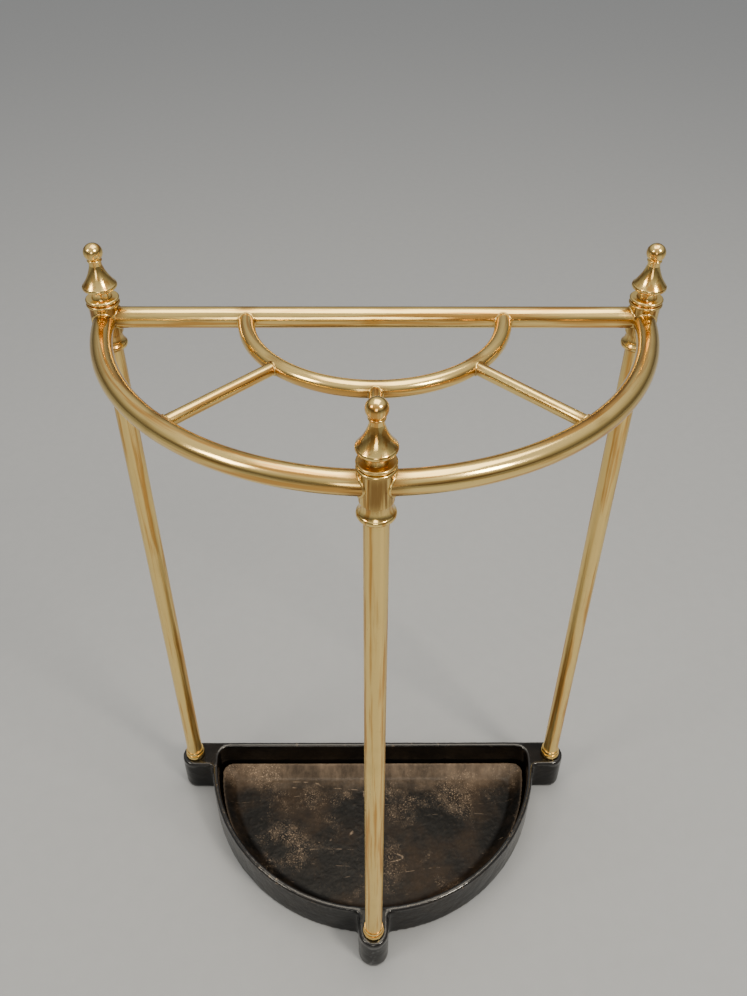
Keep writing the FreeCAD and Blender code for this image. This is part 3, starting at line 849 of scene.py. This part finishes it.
# %% [markdown]
# ## The fourteen seams
#
# The inner ring meets the rail twice. The three spokes meet it on one side and the outer ring or the front
# socket on the other. The rail and the two quarters of the outer ring meet the sockets. A socket's radius
# can't be read from its box, because its rims are wider. But the rail is cut to fit round it: where the
# rail's box ends, its skin touches the socket, so the radius is the long side of a right-angled triangle.

# %% All the seams of the rack
SOCKET_RADIUS = math.hypot(half_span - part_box("back_rail")[1].x, RAIL_TUBE)
X, Y, Z = Vector((1, 0, 0)), Vector((0, 1, 0)), Vector((0, 0, 1))
front = socket_points[2]
seams = [seam(end, X, RAIL_TUBE, -Y, INNER_TUBE) for end in ring_ends]
for sign in (-1, 1):
    slant = Vector((sign, -1, 0)).normalized()
    start, run = round_point(INNER_CENTRE, INNER_RADIUS, slant)
    seams.append(seam(start, run, INNER_TUBE, slant, SPOKE_TUBE))
    far = ray_to_ring(INNER_CENTRE, slant, OUTER_CENTRE, OUTER_RADIUS)
    _, run = round_point(OUTER_CENTRE, OUTER_RADIUS, far - OUTER_CENTRE)
    seams.append(seam(far, run, RAIL_TUBE, -slant, SPOKE_TUBE))
start, run = round_point(INNER_CENTRE, INNER_RADIUS, -Y)
seams.append(seam(start, run, INNER_TUBE, -Y, SPOKE_TUBE))
seams.append(seam(front, Z, SOCKET_RADIUS, Y, SPOKE_TUBE))
for sign, back in zip((-1, 1), socket_points):
    _, run = round_point(OUTER_CENTRE, OUTER_RADIUS, back - OUTER_CENTRE)
    seams.append(seam(back, Z, SOCKET_RADIUS, -X * sign, RAIL_TUBE))
    seams.append(seam(back, Z, SOCKET_RADIUS, -run * sign, RAIL_TUBE))
    seams.append(seam(front, Z, SOCKET_RADIUS, X * sign, RAIL_TUBE))
print("socket radius:", round(SOCKET_RADIUS, 4), "brazed joints:", len(seams))

# %% [markdown]
# ## Brazing beads
#
# Now the lines become beads. A small circle is drawn along each line, and noise makes the line's radius
# uneven, as a bead that was fed by hand is. The brazing metal is brass too, but it was never polished, so it
# is duller and browner than the tubes.

# %% Brazing metal
BRAZING_SMOOTH, BURNT_ROUGHNESS = 0.20, 0.2
RIPPLE_DEPTH = 0.05 * MM


def brazing():
    """Dull brass, a little browner than the tubes."""
    braze = Finish("brazing_brass")
    burnt = braze.patches(scale=160, detail=4, rough=0.65, seed=3.4, low=0.40, high=0.70)
    ripple = braze.noise(braze.place, scale=600, detail=3, rough=0.6, seed=1.1)
    return braze.shade(
        Base_Color=braze.tint(burnt, BRIGHT_BRASS, BROWNED_BRASS),
        Metallic=1.0,
        Roughness=BRAZING_SMOOTH + burnt * BURNT_ROUGHNESS,
        Normal=braze.bump(ripple, RIPPLE_DEPTH),
    )


BRAZING = brazing()
print("brazing nodes:", len(BRAZING.node_tree.nodes))


# %% Lines and beads
BEAD_SIDES = 8
BEAD_LUMPS = 210


def closed_lines(name, loops):
    """A curve object with one closed line for each loop of points."""
    curve = bpy.data.curves.new(name, "CURVE")
    curve.dimensions = "3D"
    for points in loops:
        spline = curve.splines.new("POLY")
        spline.points.add(len(points) - 1)
        for point, place in zip(spline.points, points):
            point.co = (*place, 1.0)
        spline.use_cyclic_u = True
    lines = bpy.data.objects.new(name, curve)
    bpy.context.scene.collection.objects.link(lines)
    return lines


bead = Recipe("Braze bead", BRAZING, **{"Bead Radius": 1.0 * MM, "Unevenness": 0.7, "Seed": 4})
place = bead.node("GeometryNodeInputPosition")
wobble = bead.noise(place, BEAD_LUMPS, detail=3, rough=0.6, seed=bead.size["Seed"])
thickness = 1.0 + (wobble - 0.5) * bead.size["Unevenness"]
bead.shape = bead.node("GeometryNodeSetCurveRadius", sockets={"Curve": bead.shape, "Radius": thickness})
circle = {"Resolution": BEAD_SIDES, "Radius": bead.size["Bead Radius"]}
profile = bead.node("GeometryNodeCurvePrimitiveCircle", sockets=circle)
bead.shape = bead.node("GeometryNodeCurveToMesh", sockets={"Curve": bead.shape, "Profile Curve": profile})
beads = bead.finish().bake(closed_lines("braze_lines", seams), "braze_beads")
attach(beads, "frame")

# %% [markdown]
# ## Floor
#
# The stand needs something to stand on, and the brass mirrors it. The floor is plain and pale, with just
# enough unevenness in its paint that it doesn't look cut from paper. It is very wide, so that its edge stays
# far away in every view.

# %% Floor
FLOOR_HALF = 40.0
FLOOR_DARK = colour(0.34, 0.355, 0.375)
FLOOR_LIGHT = colour(0.37, 0.385, 0.405)


def pale_floor():
    """A plain pale floor."""
    mesh = bpy.data.meshes.new("studio_floor")
    corners = [(-1, -1), (1, -1), (1, 1), (-1, 1)]
    mesh.from_pydata([(x * FLOOR_HALF, y * FLOOR_HALF, 0) for x, y in corners], [], [(0, 1, 2, 3)])
    floor = bpy.data.objects.new("studio_floor", mesh)
    bpy.context.scene.collection.objects.link(floor)
    paint = Finish("studio_floor_paint")
    fine = paint.noise(paint.place, scale=60, detail=3, rough=0.5, seed=0.4)
    mesh.materials.append(paint.shade(Base_Color=paint.tint(fine, FLOOR_DARK, FLOOR_LIGHT), Roughness=0.7))
    return floor


pale_floor()
print("floor:", 2 * FLOOR_HALF, "m square")

# %% [markdown]
# ## Lights
#
# Brass shows only what it mirrors, so the lights are soft panels with a size, not points. A wide one hangs
# overhead, a bright key stands to the right, a fill to the left, and a weak one in front lights the posts
# from the viewer's side. All are as warm as lamps in a room.

# %% Lights
LAMP_TINT = (1.0, 0.91, 0.76)
AIM = (0.0, 0.0, 0.35)
PANELS = {
    "overhead_panel": {"place": (0.1, 0.3, 2.6), "size": 1.7, "power": 34},
    "key_panel": {"place": (1.4, -1.2, 2.2), "size": 0.5, "power": 38},
    "fill_panel": {"place": (-1.7, -0.9, 1.9), "size": 0.6, "power": 16},
    "front_panel": {"place": (-0.2, -2.6, 1.4), "size": 0.8, "power": 9},
}


def soft_panel(name, place, size, power):
    """A square light panel that faces the stand."""
    light = bpy.data.lights.new(name, "AREA")
    light.shape = "SQUARE"
    light.size = size
    light.energy = power
    light.color = LAMP_TINT
    panel = bpy.data.objects.new(name, light)
    panel.location = place
    panel.rotation_euler = (Vector(AIM) - Vector(place)).to_track_quat("-Z", "Y").to_euler()
    bpy.context.scene.collection.objects.link(panel)


for name, panel in PANELS.items():
    soft_panel(name, **panel)
print("lights:", len(bpy.data.lights))

# %% [markdown]
# ## The room in the brass
#
# The dim room is a gradient: bright at the ceiling, darker towards the horizon. Metal mirrors it, and the
# gradient is what makes a tube look round and gives it its dark lines.

# %% Room
CEILING = colour(0.92, 0.90, 0.86)
HORIZON = colour(0.135, 0.125, 0.115)
ROOM_STRENGTH = 0.8

room = bpy.data.worlds.new("dim_room")
room.use_nodes = True
sky = Graph(room.node_tree)
sky.tree.nodes.clear()
direction = sky.node("ShaderNodeTexCoord", out="Generated")
height = sky.node("ShaderNodeSeparateXYZ", sockets={"Vector": direction}, out="Z")
blend = sky.tint(sky.step(height, low=0.05, high=0.85), HORIZON, CEILING)
glow = sky.node("ShaderNodeBackground", sockets={"Color": blend, "Strength": ROOM_STRENGTH})
sky.node("ShaderNodeOutputWorld", sockets={"Surface": glow})
bpy.context.scene.world = room
print("room:", HORIZON[:3], "at the horizon,", CEILING[:3], "overhead")

# %% [markdown]
# ## Camera
#
# The stand is seen from above and in front, as by someone about to drop an umbrella in. The camera stands
# close and its lens is fairly wide, so the rack looks much larger than the tray below it.

# %% Camera
CAMERA_PLACE = (-0.0044, -0.4783, 0.9350)
CAMERA_TURN = (52.98, -0.17, -0.25)
CAMERA_LENS = 31.73
CAMERA_SHIFT = -0.0683

lens = bpy.data.cameras.new("camera")
lens.lens = CAMERA_LENS
lens.shift_y = CAMERA_SHIFT
camera = bpy.data.objects.new("camera", lens)
camera.location = CAMERA_PLACE
camera.rotation_euler = [math.radians(angle) for angle in CAMERA_TURN]
bpy.context.scene.collection.objects.link(camera)
bpy.context.scene.camera = camera
print("camera at", CAMERA_PLACE)
